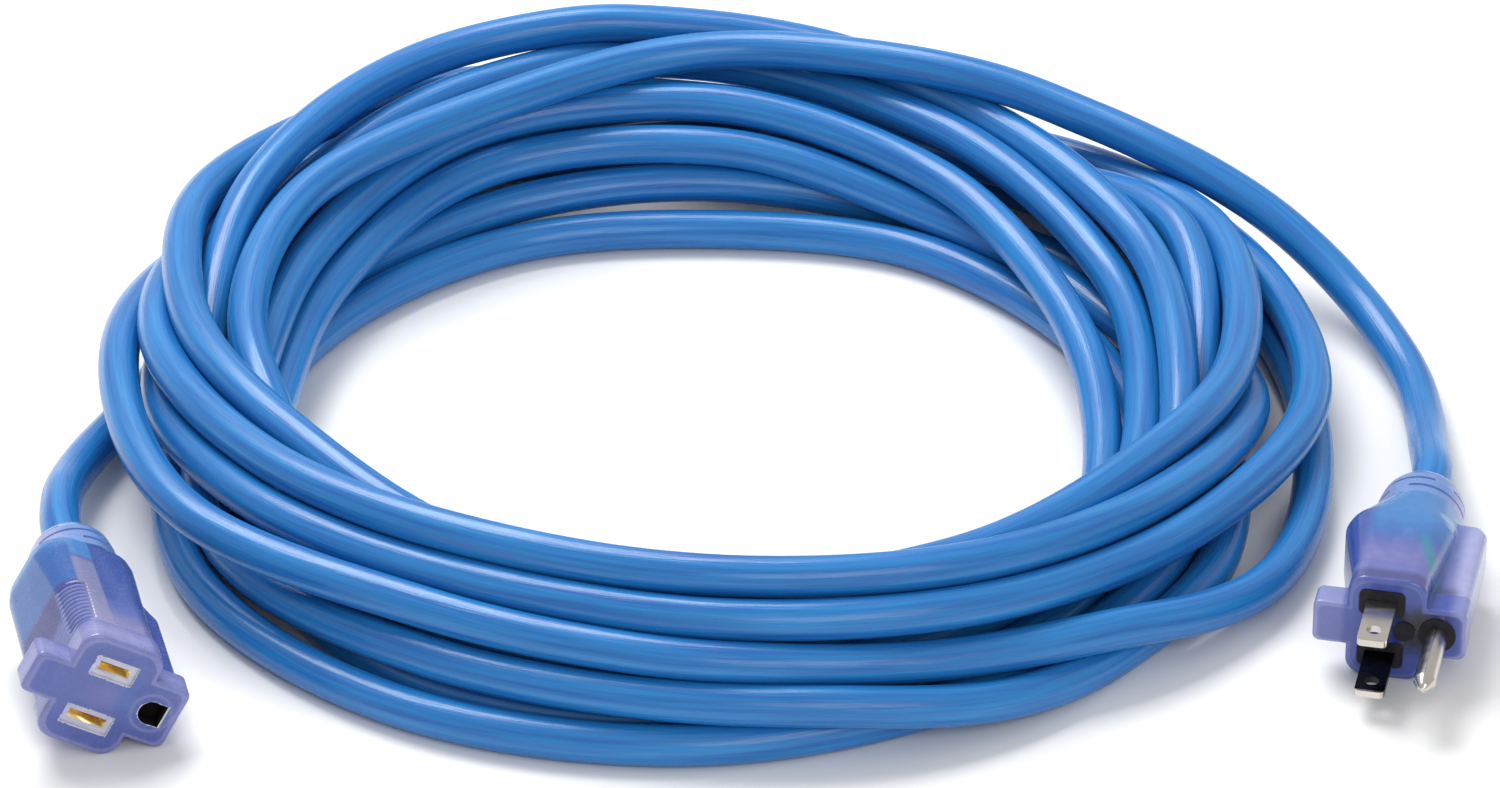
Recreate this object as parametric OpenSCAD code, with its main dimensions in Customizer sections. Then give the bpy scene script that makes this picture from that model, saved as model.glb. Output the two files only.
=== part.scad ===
// A three-wire outdoor extension cord, lying in a loose round coil.
// A moulded plug ends one tail of the cord and a moulded connector ends the other.
// Millimetres, +Z up, origin on the floor under the middle of the whole object.

/* [Cord] */
// Outer diameter of the round jacket
cord_d = 9; // [8.6:0.1:11]
// Outer diameter of one insulated wire
wire_d = 3.4; // [2.8:0.05:3.4]
// Diameter of the stranded copper inside a wire
copper_d = 1.9; // [1.6:0.05:2.2]

/* [Coil] */
// Diameter across the outside of the coil
coil_outer_d = 278; // [235:1:300]
// Diameter of the hole in the middle of the coil
coil_inner_d = 160; // [120:1:200]
// Height of the pile of turns
coil_h = 42; // [30:0.5:52]

/* [Blades and pin] */
// Distance between the middles of the two flat blades
blade_spacing = 12.7; // [12:0.1:15.3]
// Width of a flat blade
blade_w = 6.35; // [5:0.05:7.7]
// Thickness of a flat blade
blade_t = 1.52; // [1.2:0.02:1.9]
// Length of a blade in front of the face
blade_len = 16; // [13:0.5:19.5]
// Diameter of the hole near a blade's tip
blade_hole_d = 3.2; // [2:0.1:4]
// Distance of that hole from the face
blade_hole_at = 11.7; // [9:0.1:12]
// Diameter of the round ground pin
pin_d = 4.75; // [4:0.05:5.7]
// Length of the ground pin in front of the face
pin_len = 21.4; // [17:0.1:26]
// Distance of the ground pin from the line of the blades
pin_offset = 11.86; // [11:0.05:14.2]

/* [Plug and connector face] */
// Height of the plug's main block, along the line of the blades
plug_block_h = 24.6; // [22.5:0.1:30]
// Height of the connector's main block
connector_block_h = 26.6; // [25:0.1:34]
// Reach of the plug's main block from the line of the blades, away from the ground pin
plug_block_back = 7.4; // [6.5:0.1:9]
// Reach of the connector's main block from the line of the slots, away from the ground hole
connector_block_back = 9.4; // [7:0.1:11]
// Reach of the main block from the line of the blades, towards the ground pin
block_front = 9.5; // [8.5:0.1:12]
// Corner radius of the main block
block_r = 4; // [2:0.1:5]
// Length of the thumb tab beside the main block
tab_l = 7.2; // [5:0.1:10]
// Height of the thumb tab
tab_h = 10; // [8:0.1:12]
// Wall of the plug's ground arm outside the ground pin's boss
plug_arm_wall = 2.2; // [1:0.1:4]
// Wall of the connector's ground arm outside a boss of the same size
connector_arm_wall = 2.1; // [1:0.1:5]
// Height of the plug's ground arm
plug_arm_h = 11.8; // [10.4:0.1:15]
// Height of the connector's ground arm
connector_arm_h = 14.8; // [12.4:0.1:18]
// Thickness of the face flange, front to back
flange_t = 7; // [5:0.1:9]

/* [Bodies] */
// Length of the plug from its face to the cord end of its strain relief
plug_l = 53.5; // [53:0.5:68]
// Length of the connector from its face to the cord end of its strain relief
connector_l = 59; // [58:0.5:71]
// Sideways offset of the cord from the line of the blades
cord_offset = 2; // [0:0.1:4]
// Width across the shoulders of a body
shoulder_w = 24; // [20:0.1:29]
// Height across the shoulders of a body
shoulder_h = 22; // [20:0.1:27]
// Distance of the plug's shoulders from its strain relief
plug_shoulder_l = 11; // [2:0.5:14]
// Distance of the connector's shoulders from its strain relief
connector_shoulder_l = 4; // [2:0.5:14]
// Depth of the plug's ground lobe at its outer corner, behind the face
plug_lobe_l = 34; // [28:0.5:36]
// Depth of the connector's ground lobe at its outer corner, behind the face
connector_lobe_l = 30; // [24:0.5:36]
// Length of a strain relief
relief_l = 13; // [10.5:0.5:15.5]
// Diameter of a strain relief where it meets the body
relief_big_d = 19.6; // [16:0.1:23]
// Wall of a strain relief at its cord end
relief_wall = 1; // [0.8:0.1:2]

/* [Plug inside] */
// Depth of the black blade carrier behind the face
carrier_depth = 12; // [10:0.1:14]
// Width of the carrier's boss round a blade
boss_w = 9.8; // [8:0.1:10.4]
// Height of the carrier's boss round a blade
boss_h = 6.2; // [4:0.1:7]
// Diameter of the carrier's boss round the ground pin
pin_boss_d = 8; // [6.8:0.1:9]
// Diameter of the round stud between the blades
stud_d = 4.6; // [3:0.1:6]
// How far the carrier's bosses stand out of the face
boss_proud = 0.3; // [0:0.05:0.6]

/* [Connector inside] */
// Width of the narrow, live slot
hot_slot_w = 7; // [6.8:0.1:7.8]
// Width of the wide, neutral slot
neutral_slot_w = 8.4; // [7.8:0.1:9]
// Height of a slot
slot_t = 2; // [1.8:0.05:2.6]
// Radius of the round part of the ground hole's arched mouth
ground_mouth_r = 2.8; // [2.7:0.05:3.2]
// Depth of the arched mouth
ground_mouth_l = 2; // [1:0.1:3]
// Radius of the round guide behind the mouth
ground_guide_r = 2.6; // [2.5:0.05:2.65]
// Depth of the far end of that guide behind the face
ground_guide_l = 6; // [4:0.1:8]
// Thickness of the housing's front wall over the contact block
front_wall = 3; // [2:0.1:4]
// Length of the contact block, front to back
contact_block_l = 20.6; // [20.4:0.1:25]
// Thickness of the brass in a contact
brass_t = 0.6; // [0.4:0.05:0.7]

/* [Hidden] */
$fn = 48;
eps = 0.01;

// Clearances between pieces that are moulded or pressed together
mould_gap = 0.05;
wire_gap = 0.04;

// Moves the middle of the whole object's box over the origin
whole_shift = [1.35, 0, 0];

// Places. The coil lies round coil_at. A plug or connector place is the middle of its face.
coil_at = [-8, 0, 0];
plug_yaw = 12.4;
plug_at = [131.7, -93.8, plug_block_h / 2];
connector_yaw = 12.8;
connector_roll = 30;
arm_r = 1.5;

// The four sizes that the two faces don't share: block height, block reach, arm reach, arm height
plug_face = [plug_block_h, plug_block_back, pin_offset + pin_boss_d / 2 + plug_arm_wall, plug_arm_h];
connector_face = [connector_block_h, connector_block_back,
                  pin_offset + pin_boss_d / 2 + connector_arm_wall, connector_arm_h];

// Height of the connector's middle, so that its lowest corner is on the floor.
function corner_drop(out, half, r) =
    (out - r) * sin(connector_roll) + (half - r) * cos(connector_roll) + r;
connector_z = max(corner_drop(block_front, connector_face[0] / 2, block_r),
                  corner_drop(connector_face[2], connector_face[3] / 2, arm_r));
connector_at = [-135.9, -123.2, connector_z];

// Where the cord leaves each strain relief, and the way it goes from there
plug_back = [sin(plug_yaw), cos(plug_yaw), 0];
plug_exit = plug_at + plug_l * plug_back + cord_offset * [cos(plug_yaw), -sin(plug_yaw), 0];
connector_back = [-sin(connector_yaw), cos(connector_yaw), 0];
connector_side = [cos(connector_roll) * cos(connector_yaw),
                  cos(connector_roll) * sin(connector_yaw), -sin(connector_roll)];
connector_exit = connector_at + connector_l * connector_back + cord_offset * connector_side;

// Hand-chosen points of the two tails, from inside the coil towards the plug and connector
plug_tail = [
    [78, 92, 31], [91, 84.5, 28.5], [104, 77, 25], [117, 68.5, 20], [128, 58.5, 14.5],
    [137, 46.5, 9.5], [142.5, 35, 6.8], [147, 20, 5.2], [148.5, 1, 5.5], [148, -15, 8.5],
];
connector_tail = [
    [-121.5, 64, 4.8], [-126, 48, 4.8], [-130.5, 32, 4.8], [-135.5, 16, 4.8],
    [-141.5, 0, 5.2], [-146.5, -13, 6], [-149.5, -26, 8], [-150.5, -40, 11.5],
];
exit_straight = 10;
tube_sides = 12;

// ---- Shared shapes ----

module round_rect(x0, x1, y0, y1, r) {
    translate([x0 + r, y0]) square([x1 - x0 - 2 * r, y1 - y0]);
    translate([x0, y0 + r]) square([x1 - x0, y1 - y0 - 2 * r]);
    for (x = [x0 + r, x1 - r], y = [y0 + r, y1 - r])
        translate([x, y]) circle(r);
}

// A slab of a rounded rectangle, from z0 up to z1
module slab(x0, x1, y0, y1, r, z0, z1) {
    translate([0, 0, z0]) linear_extrude(z1 - z0) round_rect(x0, x1, y0, y1, r);
}

function unit(v) = v / norm(v);
function way_at(p, i) = unit(p[min(i + 1, len(p) - 1)] - p[max(i - 1, 0)]);
function ring_at(p, i, r, n, across) =
    let (t = way_at(p, i), side = unit(cross(t, across)), up = cross(side, t))
    [for (k = [0:n - 1]) p[i] + r * (side * cos(360 * k / n) + up * sin(360 * k / n))];

// A round tube of n sides that follows the points p, which never run along the vector across
module tube(p, d, n, across) {
    rings = len(p);
    points = [for (i = [0:rings - 1]) each ring_at(p, i, d / 2, n, across)];
    walls = [for (i = [0:rings - 2], k = [0:n - 1])
        let (a = i * n + k, b = i * n + (k + 1) % n)
        each [[a, b, b + n], [a, b + n, a + n]]];
    start = [for (k = [n - 1:-1:0]) k];
    finish = [for (k = [0:n - 1]) (rings - 1) * n + k];
    polyhedron(points, concat([start], walls, [finish]));
}

module in_frame() {
    translate(whole_shift) children();
}

module plug_place() {
    translate(plug_at) rotate([0, 0, -plug_yaw]) rotate([90, 0, 0]) children();
}

module connector_place() {
    translate(connector_at)
        rotate([0, 0, connector_yaw]) rotate([90, 0, 0]) rotate([0, 0, -connector_roll])
            children();
}

// In a plug or connector the mating face is at z = 0 and the body is below it.
// +x points from the line of the blades to the ground pin.

// ---- Cord ----

module cord_coil() {
    inner = coil_inner_d / 2;
    outer = coil_outer_d / 2;
    color("royalblue") translate(coil_at)
        rotate_extrude($fn = 96) round_rect(inner, outer, 0, coil_h, cord_d);
}

module cord_tail_plug() {
    color("dodgerblue")
        tube(concat(plug_tail, [plug_exit + exit_straight * plug_back, plug_exit]),
             cord_d, tube_sides, [0, 0, 1]);
}

module cord_tail_connector() {
    color("dodgerblue")
        tube(concat(connector_tail,
                    [connector_exit + exit_straight * connector_back, connector_exit]),
             cord_d, tube_sides, [0, 0, 1]);
}

// ---- Wires and jacket, the same in both ends ----

// The two places of a blade or its slot on the line of the blades. The connector faces the
// plug, so the live side is at low_y in the plug and at high_y in the connector.
low_y = -blade_spacing / 2;
high_y = blade_spacing / 2;

wire_ring_r = wire_d / sqrt(3);
core_r = wire_ring_r + wire_d / 2 + wire_gap;
wire_in_jacket = 9;

// One wire: straight in the jacket up to z0, an S-bend over to x, y, and straight into its
// crimp at z1. angle says where it lies in the jacket, and 0 is the ground wire's side.
module wire(angle, x, y, z0, z1, d) {
    steps = 6;
    straight = 2;
    from = [cord_offset + wire_ring_r * cos(angle), wire_ring_r * sin(angle)];
    rise = z1 - z0 - 2 * straight;
    bend = [for (i = [0:steps])
        let (t = i / steps, ease = t * t * (3 - 2 * t))
        [from.x + (x - from.x) * ease, from.y + (y - from.y) * ease, z0 + straight + rise * t]];
    tube(concat([[from.x, from.y, z0 - wire_in_jacket]], bend, [[x, y, z1]]), d, tube_sides, [0, 1, 0]);
}

// The jacket's own end, from its cut at z0 back to the end of the strain relief
module jacket_end(z0, back) {
    difference() {
        translate([cord_offset, 0, -back]) cylinder(d = cord_d, h = back + z0);
        translate([cord_offset, 0, z0 - wire_in_jacket]) cylinder(r = core_r, h = wire_in_jacket + eps);
    }
}

// A crimped barrel round the copper, open at its wire end
module barrel(x, y, z0, z1, d) {
    translate([x, y, z0]) cylinder(d = d, h = z1 - z0);
}

module copper(x, y, z0, z1) {
    translate([x, y, z0]) cylinder(d = copper_d, h = z1 - z0);
}

// ---- Outer mouldings ----

// The flat cross of the mating face: main block, tab and ground arm
module face_outline(face) {
    half_h = face[0] / 2;
    arm_half_h = face[3] / 2;
    round_rect(-face[1], block_front, -half_h, half_h, block_r);
    round_rect(-face[1] - tab_l, 0, -tab_h / 2, tab_h / 2, arm_r);
    round_rect(0, face[2], -arm_half_h, arm_half_h, arm_r);
}

// The grip between the flange and the strain relief
module grip(body_l, shoulder_l, face) {
    shoulder_z = shoulder_l - body_l;
    step = 0.5;
    half_w = shoulder_w / 2;
    half_h = face[0] / 2 - step;
    hull() {
        translate([cord_offset, 0, -body_l]) cylinder(d = relief_big_d, h = 1, $fn = 32);
        slab(-half_w, half_w, -shoulder_h / 2, shoulder_h / 2, 7, shoulder_z - 1, shoulder_z, $fn = 32);
        slab(-face[1] + step, block_front - step, -half_h, half_h, block_r,
             -flange_t, -flange_t + 1, $fn = 32);
    }
}

// The raised lobe over the ground wire, from the ground arm back along the grip
module ground_lobe(body_l, lobe_l, face) {
    lobe_z = 2.5 - body_l;
    arm_half_h = face[3] / 2;
    hull() {
        slab(0, face[2] - 0.8, -arm_half_h + 0.8, arm_half_h - 0.8, 3, -flange_t, -flange_t + 1, $fn = 32);
        slab(0, face[2] - 1.2, -arm_half_h + 1.2, arm_half_h - 1.2, 3, -lobe_l, -lobe_l + 1, $fn = 32);
        slab(0, shoulder_w / 2 + 0.5, -arm_half_h + 2.5, arm_half_h - 2.5, 2, lobe_z, lobe_z + 1, $fn = 32);
    }
}

module outer_moulding(length, shoulder_l, lobe_l, face) {
    body_l = length - relief_l;
    grip(body_l, shoulder_l, face);
    ground_lobe(body_l, lobe_l, face);
    translate([0, 0, -flange_t]) linear_extrude(flange_t) face_outline(face);
}

// A ribbed collar that grows from the cord to the body; z = 0 at its cord end
module strain_relief() {
    ribs = 3;
    groove = 0.9;
    groove_depth = 0.8;
    bore_r = cord_d / 2 + mould_gap;
    small_r = bore_r + relief_wall;
    big_r = relief_big_d / 2;
    rib_l = relief_l / (ribs + 1);
    // Share of the growth reached at each share of the length
    growth = [[0, 0], [0.15, 0.55], [0.35, 0.85], [0.6, 0.97], [1, 1]];
    difference() {
        rotate_extrude()
            polygon(concat([for (g = growth) [small_r + g[1] * (big_r - small_r), g[0] * relief_l]],
                           [[bore_r, relief_l], [bore_r, 0]]));
        for (i = [1:ribs]) {
            z = i * rib_l;
            r = small_r + (big_r - small_r) * lookup(z / relief_l, growth);
            translate([0, 0, z]) difference() {
                cylinder(r = big_r + 1, h = groove);
                translate([0, 0, -1]) cylinder(r = r - groove_depth, h = groove + 2);
            }
        }
    }
}

// ---- Plug ----

plug_jacket_z = -36;
plug_crimp_z0 = -20;
plug_crimp_z1 = -12;
crimp_d = copper_d + 1.8;
blade_tail = 13;

module plug_wires(d) {
    wire(120, 0, high_y, plug_jacket_z, plug_crimp_z0, d);
    wire(240, 0, low_y, plug_jacket_z, plug_crimp_z0, d);
    wire(0, pin_offset, 0, plug_jacket_z, plug_crimp_z0, d);
}

module plug_crimps(d) {
    for (p = [[0, high_y], [0, low_y], [pin_offset, 0]])
        barrel(p.x, p.y, plug_crimp_z0, plug_crimp_z1, d);
}

// The carrier's solid: a plate inside the body with a boss for each blade and the pin
module carrier_solid(gap) {
    top = boss_proud + (gap > 0 ? 1 : 0);
    g = gap;
    plate_top = -flange_t + 3.5;
    bridge_h = pin_boss_d - 1.6;
    slab(-boss_w / 2 - g, boss_w / 2 + g, low_y - boss_h / 2 - g, high_y + boss_h / 2 + g,
         1.5, -carrier_depth - g, plate_top + g);
    translate([0, 0, -carrier_depth - g]) linear_extrude(plate_top + carrier_depth + 2 * g)
        round_rect(0, pin_offset, -bridge_h / 2 - g, bridge_h / 2 + g, 1);
    for (y = [low_y, high_y])
        slab(-boss_w / 2 - g, boss_w / 2 + g, y - boss_h / 2 - g, y + boss_h / 2 + g, 1.5,
             -carrier_depth, top);
    translate([pin_offset, 0, -carrier_depth]) cylinder(d = pin_boss_d + 2 * g, h = carrier_depth + top);
    translate([boss_w / 2, 0, -carrier_depth]) cylinder(d = stud_d + 2 * g, h = carrier_depth + top);
}

module blade_solid(y) {
    w = blade_w;
    t = blade_t;
    tip_r = 1.2;
    translate([0, y + t / 2, 0]) rotate([90, 0, 0])
        linear_extrude(t) union() {
            translate([-w / 2, -blade_tail]) square([w, blade_tail + blade_len - tip_r]);
            translate([-w / 2 + tip_r, 0]) square([w - 2 * tip_r, blade_len]);
            for (x = [-w / 2 + tip_r, w / 2 - tip_r])
                translate([x, blade_len - tip_r]) circle(tip_r);
        }
}

module blade(y) {
    difference() {
        union() {
            blade_solid(y);
            barrel(0, y, plug_crimp_z0, plug_crimp_z1, crimp_d);
        }
        translate([0, y + blade_t, blade_hole_at]) rotate([90, 0, 0])
            cylinder(d = blade_hole_d, h = 2 * blade_t);
        translate([0, y, plug_crimp_z0 - eps])
            cylinder(d = copper_d, h = plug_crimp_z1 - plug_crimp_z0 - 1);
    }
}

// The ground pin: a straight round shank with a blunt tapered tip, on a thinner root and stem
pin_tip_l = 3;
pin_tail = 6;
pin_shank_z = boss_proud + 0.05;
pin_root_r = pin_d / 2 - 0.5;
pin_stem_d = 2 * pin_root_r - 0.4;

module pin_solid() {
    r = pin_d / 2;
    tip_z = pin_len - pin_tip_l;
    translate([pin_offset, 0, -pin_tail]) cylinder(r = pin_root_r, h = pin_tail + pin_shank_z);
    translate([pin_offset, 0, pin_shank_z]) cylinder(r = r, h = tip_z - pin_shank_z);
    translate([pin_offset, 0, tip_z]) cylinder(r1 = r, r2 = r * 0.5, h = pin_tip_l * 0.75);
    translate([pin_offset, 0, pin_len - 0.25 * pin_tip_l])
        cylinder(r1 = r * 0.5, r2 = r * 0.2, h = pin_tip_l * 0.25);
}

module pin_stem(gap) {
    overlap = 1;
    translate([pin_offset, 0, plug_crimp_z1 - overlap])
        cylinder(d = pin_stem_d + 2 * gap, h = 2 * overlap - pin_tail - plug_crimp_z1);
}

module plug_housing() {
    color("lightsteelblue") plug_place() difference() {
        outer_moulding(plug_l, plug_shoulder_l, plug_lobe_l, plug_face);
        carrier_solid(mould_gap);
        plug_wires(wire_d + 2 * mould_gap);
        plug_crimps(crimp_d + 2 * mould_gap);
        for (y = [low_y, high_y])
            translate([-blade_w / 2 - mould_gap, y - blade_t / 2 - mould_gap, -blade_tail - mould_gap])
                cube([blade_w + 2 * mould_gap, blade_t + 2 * mould_gap, blade_tail - 2]);
        pin_stem(mould_gap);
        translate([cord_offset, 0, -plug_l]) cylinder(d = cord_d + 2 * mould_gap, h = plug_l + plug_jacket_z);
    }
}

module plug_strain_relief() {
    color("lavender") plug_place() translate([cord_offset, 0, -plug_l]) strain_relief();
}

module plug_blade_carrier() {
    color("#202024") plug_place() difference() {
        carrier_solid(0);
        for (y = [low_y, high_y])
            translate([-blade_w / 2 - mould_gap, y - blade_t / 2 - mould_gap, -carrier_depth - 1])
                cube([blade_w + 2 * mould_gap, blade_t + 2 * mould_gap, carrier_depth + 3]);
        translate([pin_offset, 0, -pin_tail - mould_gap])
            cylinder(r = pin_root_r + mould_gap, h = pin_tail + 3);
        pin_stem(mould_gap);
        plug_crimps(crimp_d + 2 * mould_gap);
    }
}

module plug_blade_hot() {
    color("silver") plug_place() blade(low_y);
}

module plug_blade_neutral() {
    color("silver") plug_place() blade(high_y);
}

module plug_ground_pin() {
    seam_w = 0.3;
    seam_depth = 0.5;
    color("silver") plug_place() difference() {
        union() {
            pin_solid();
            pin_stem(0);
            barrel(pin_offset, 0, plug_crimp_z0, plug_crimp_z1, crimp_d);
        }
        translate([pin_offset - seam_w / 2, pin_d / 2 - seam_depth, -pin_tail - 1])
            cube([seam_w, seam_depth + 1, pin_len + pin_tail + 2]);
        translate([pin_offset, 0, plug_crimp_z0 - eps])
            cylinder(d = copper_d, h = plug_crimp_z1 - plug_crimp_z0 - 1);
    }
}

module plug_wire_hot() {
    color("#202020") plug_place() wire(240, 0, low_y, plug_jacket_z, plug_crimp_z0, wire_d);
}

module plug_wire_neutral() {
    color("whitesmoke") plug_place() wire(120, 0, high_y, plug_jacket_z, plug_crimp_z0, wire_d);
}

module plug_wire_ground() {
    color("seagreen") plug_place() wire(0, pin_offset, 0, plug_jacket_z, plug_crimp_z0, wire_d);
}

module plug_copper_ends() {
    color("peru") plug_place()
        for (p = [[0, high_y], [0, low_y], [pin_offset, 0]])
            copper(p.x, p.y, plug_crimp_z0, plug_crimp_z1 - 1.5);
}

module plug_jacket_end() {
    color("dodgerblue") plug_place() jacket_end(plug_jacket_z, plug_l);
}

// ---- Connector ----

connector_jacket_z = -44;
contact_z0 = -front_wall - contact_block_l;
connector_crimp_z0 = contact_z0 - 6;
contact_grip = blade_t - 0.2;
contact_w = 6;
contact_mouth_z = -front_wall - 1.5;
socket_r = pin_d / 2 + 0.03;

module connector_wires(d) {
    wire(120, 0, high_y, connector_jacket_z, connector_crimp_z0, d);
    wire(240, 0, low_y, connector_jacket_z, connector_crimp_z0, d);
    wire(0, pin_offset, 0, connector_jacket_z, connector_crimp_z0, d);
}

module connector_crimps(d) {
    for (p = [[0, high_y], [0, low_y], [pin_offset, 0]])
        barrel(p.x, p.y, connector_crimp_z0, contact_z0, d);
}

block_half_h = blade_spacing / 2 + 3.6;
socket_boss_r = socket_r + brass_t + 1;

// The clear block that holds the three contacts, grown by gap
module contact_block_solid(gap) {
    g = gap;
    slab(-5.4 - g, 5.4 + g, -block_half_h - g, block_half_h + g, 1, contact_z0 - g, -front_wall + g);
    slab(0, pin_offset + g, -socket_boss_r - g, socket_boss_r + g, 1, contact_z0 - g,
         -ground_guide_l - mould_gap + g);
    translate([pin_offset, 0, contact_z0 - g])
        cylinder(r = socket_boss_r + g, h = -ground_guide_l - mould_gap - contact_z0 + 2 * g);
}

module slots(grow, z0, z1) {
    for (s = [[hot_slot_w, high_y], [neutral_slot_w, low_y]])
        translate([-s[0] / 2 - grow, s[1] - slot_t / 2 - grow, z0])
            cube([s[0] + 2 * grow, slot_t + 2 * grow, z1 - z0]);
}

// The ground hole: an arched mouth, round towards the slots, and a round guide behind it
module ground_hole() {
    half_h = ground_mouth_r - 0.1;
    translate([pin_offset, 0, 0]) {
        translate([0, 0, -ground_mouth_l]) cylinder(r = ground_mouth_r, h = ground_mouth_l + 1);
        translate([0, -half_h, -ground_mouth_l])
            cube([ground_mouth_r, 2 * half_h, ground_mouth_l + 1]);
        translate([0, 0, -ground_guide_l - 1]) cylinder(r = ground_guide_r, h = ground_guide_l);
    }
}

module connector_housing() {
    color("lightsteelblue") connector_place() difference() {
        outer_moulding(connector_l, connector_shoulder_l, connector_lobe_l, connector_face);
        contact_block_solid(mould_gap);
        connector_wires(wire_d + 2 * mould_gap);
        connector_crimps(crimp_d + 2 * mould_gap);
        slots(0, -front_wall - 1, 1);
        ground_hole();
        translate([cord_offset, 0, -connector_l])
            cylinder(d = cord_d + 2 * mould_gap, h = connector_l + connector_jacket_z);
    }
}

module connector_strain_relief() {
    color("lavender") connector_place() translate([cord_offset, 0, -connector_l]) strain_relief();
}

module connector_contact_block() {
    cell_h = contact_grip + 2 * brass_t + 1.6;
    color("aliceblue", 0.6) connector_place() difference() {
        contact_block_solid(0);
        for (y = [low_y, high_y])
            translate([-4.3, y - cell_h / 2, contact_z0 - 1])
                cube([8.6, cell_h, contact_block_l + 2]);
        translate([pin_offset, 0, contact_z0 - 1])
            cylinder(r = socket_r + brass_t + mould_gap, h = contact_block_l + 2);
    }
}

// A folded brass clip with two leaves that grip a blade, and its crimp barrel
module clip(y) {
    leaf_in = contact_grip / 2;
    leaf_out = leaf_in + brass_t;
    back_z = contact_z0 + 1;
    front_z = contact_mouth_z;
    waist_z = front_z - 2;
    flare = 0.35;
    profile = [[leaf_out, back_z], [leaf_out, waist_z], [leaf_out + flare, front_z],
               [leaf_in + flare, front_z], [leaf_in, waist_z], [leaf_in, back_z + brass_t],
               [-leaf_in, back_z + brass_t], [-leaf_in, waist_z], [-leaf_in - flare, front_z],
               [-leaf_out - flare, front_z], [-leaf_out, waist_z], [-leaf_out, back_z]];
    difference() {
        union() {
            translate([-contact_w / 2, y, 0]) rotate([90, 0, 90])
                linear_extrude(contact_w) polygon(profile);
            barrel(0, y, connector_crimp_z0, back_z + eps, crimp_d);
        }
        translate([0, y, connector_crimp_z0 - eps])
            cylinder(d = copper_d, h = contact_z0 - connector_crimp_z0 - 1);
    }
}

// A slotted brass tube that grips the round pin, and its crimp barrel
module socket() {
    outer_r = socket_r + brass_t;
    top = -ground_guide_l - 1;
    floor_z = contact_z0 + 1;
    difference() {
        union() {
            translate([pin_offset, 0, floor_z]) cylinder(r = outer_r, h = top - floor_z);
            barrel(pin_offset, 0, connector_crimp_z0, floor_z + eps, crimp_d);
        }
        translate([pin_offset, 0, floor_z + brass_t]) cylinder(r = socket_r, h = top - floor_z);
        translate([pin_offset - 0.3, 0, floor_z + 2])
            cube([0.6, outer_r + 1, top - floor_z]);
        translate([pin_offset, 0, connector_crimp_z0 - eps])
            cylinder(d = copper_d, h = contact_z0 - connector_crimp_z0 - 1);
    }
}

module connector_contact_hot() {
    color("goldenrod") connector_place() clip(high_y);
}

module connector_contact_neutral() {
    color("goldenrod") connector_place() clip(low_y);
}

module connector_contact_ground() {
    color("goldenrod") connector_place() socket();
}

module connector_wire_hot() {
    color("#202020") connector_place()
        wire(120, 0, high_y, connector_jacket_z, connector_crimp_z0, wire_d);
}

module connector_wire_neutral() {
    color("whitesmoke") connector_place()
        wire(240, 0, low_y, connector_jacket_z, connector_crimp_z0, wire_d);
}

module connector_wire_ground() {
    color("seagreen") connector_place()
        wire(0, pin_offset, 0, connector_jacket_z, connector_crimp_z0, wire_d);
}

module connector_copper_ends() {
    color("peru") connector_place()
        for (p = [[0, high_y], [0, low_y], [pin_offset, 0]])
            copper(p.x, p.y, connector_crimp_z0, contact_z0 - 1.5);
}

module connector_jacket_end() {
    color("dodgerblue") connector_place() jacket_end(connector_jacket_z, connector_l);
}

in_frame() cord_coil();
in_frame() cord_tail_plug();
in_frame() cord_tail_connector();
in_frame() plug_housing();
in_frame() plug_strain_relief();
in_frame() plug_blade_carrier();
in_frame() plug_blade_hot();
in_frame() plug_blade_neutral();
in_frame() plug_ground_pin();
in_frame() plug_wire_hot();
in_frame() plug_wire_neutral();
in_frame() plug_wire_ground();
in_frame() plug_copper_ends();
in_frame() plug_jacket_end();
in_frame() connector_housing();
in_frame() connector_strain_relief();
in_frame() connector_contact_block();
in_frame() connector_contact_hot();
in_frame() connector_contact_neutral();
in_frame() connector_contact_ground();
in_frame() connector_wire_hot();
in_frame() connector_wire_neutral();
in_frame() connector_wire_ground();
in_frame() connector_copper_ends();
in_frame() connector_jacket_end();
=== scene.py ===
"""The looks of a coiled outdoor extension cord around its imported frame. Metres, Z up."""

import math

import bpy
import numpy as np
from mathutils import Matrix, Vector


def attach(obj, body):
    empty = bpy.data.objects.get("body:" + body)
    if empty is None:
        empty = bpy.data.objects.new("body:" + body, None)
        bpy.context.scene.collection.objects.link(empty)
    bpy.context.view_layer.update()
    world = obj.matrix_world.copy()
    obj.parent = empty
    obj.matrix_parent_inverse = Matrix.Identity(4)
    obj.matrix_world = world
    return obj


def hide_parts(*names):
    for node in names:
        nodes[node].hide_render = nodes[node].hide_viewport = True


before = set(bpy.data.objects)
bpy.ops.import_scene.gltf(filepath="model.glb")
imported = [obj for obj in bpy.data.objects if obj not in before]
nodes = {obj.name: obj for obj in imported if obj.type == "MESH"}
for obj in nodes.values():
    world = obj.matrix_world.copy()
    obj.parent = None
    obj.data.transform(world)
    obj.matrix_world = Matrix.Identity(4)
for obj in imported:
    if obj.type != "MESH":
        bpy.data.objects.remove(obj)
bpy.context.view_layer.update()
MM = 0.001

# ---- Camera ----

WHOLE_SHIFT = np.array((1.35, 0.0, 0.0))
camera_data = bpy.data.cameras.new("camera")
camera_data.sensor_width = 36
camera_data.lens = 181.6
camera_data.clip_end = 20
DISTANCE = 1.7
camera = bpy.data.objects.new("camera", camera_data)
bpy.context.collection.objects.link(camera)
elevation = math.radians(31.3)
aim = Vector((0.00005, 0.0216, 0))
camera.location = aim + DISTANCE * Vector((0, -math.cos(elevation), math.sin(elevation)))
camera.rotation_euler = (math.pi / 2 - elevation, 0, 0)
bpy.context.scene.camera = camera

# ---- Places, the same values as in part.scad, in millimetres ----

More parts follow.
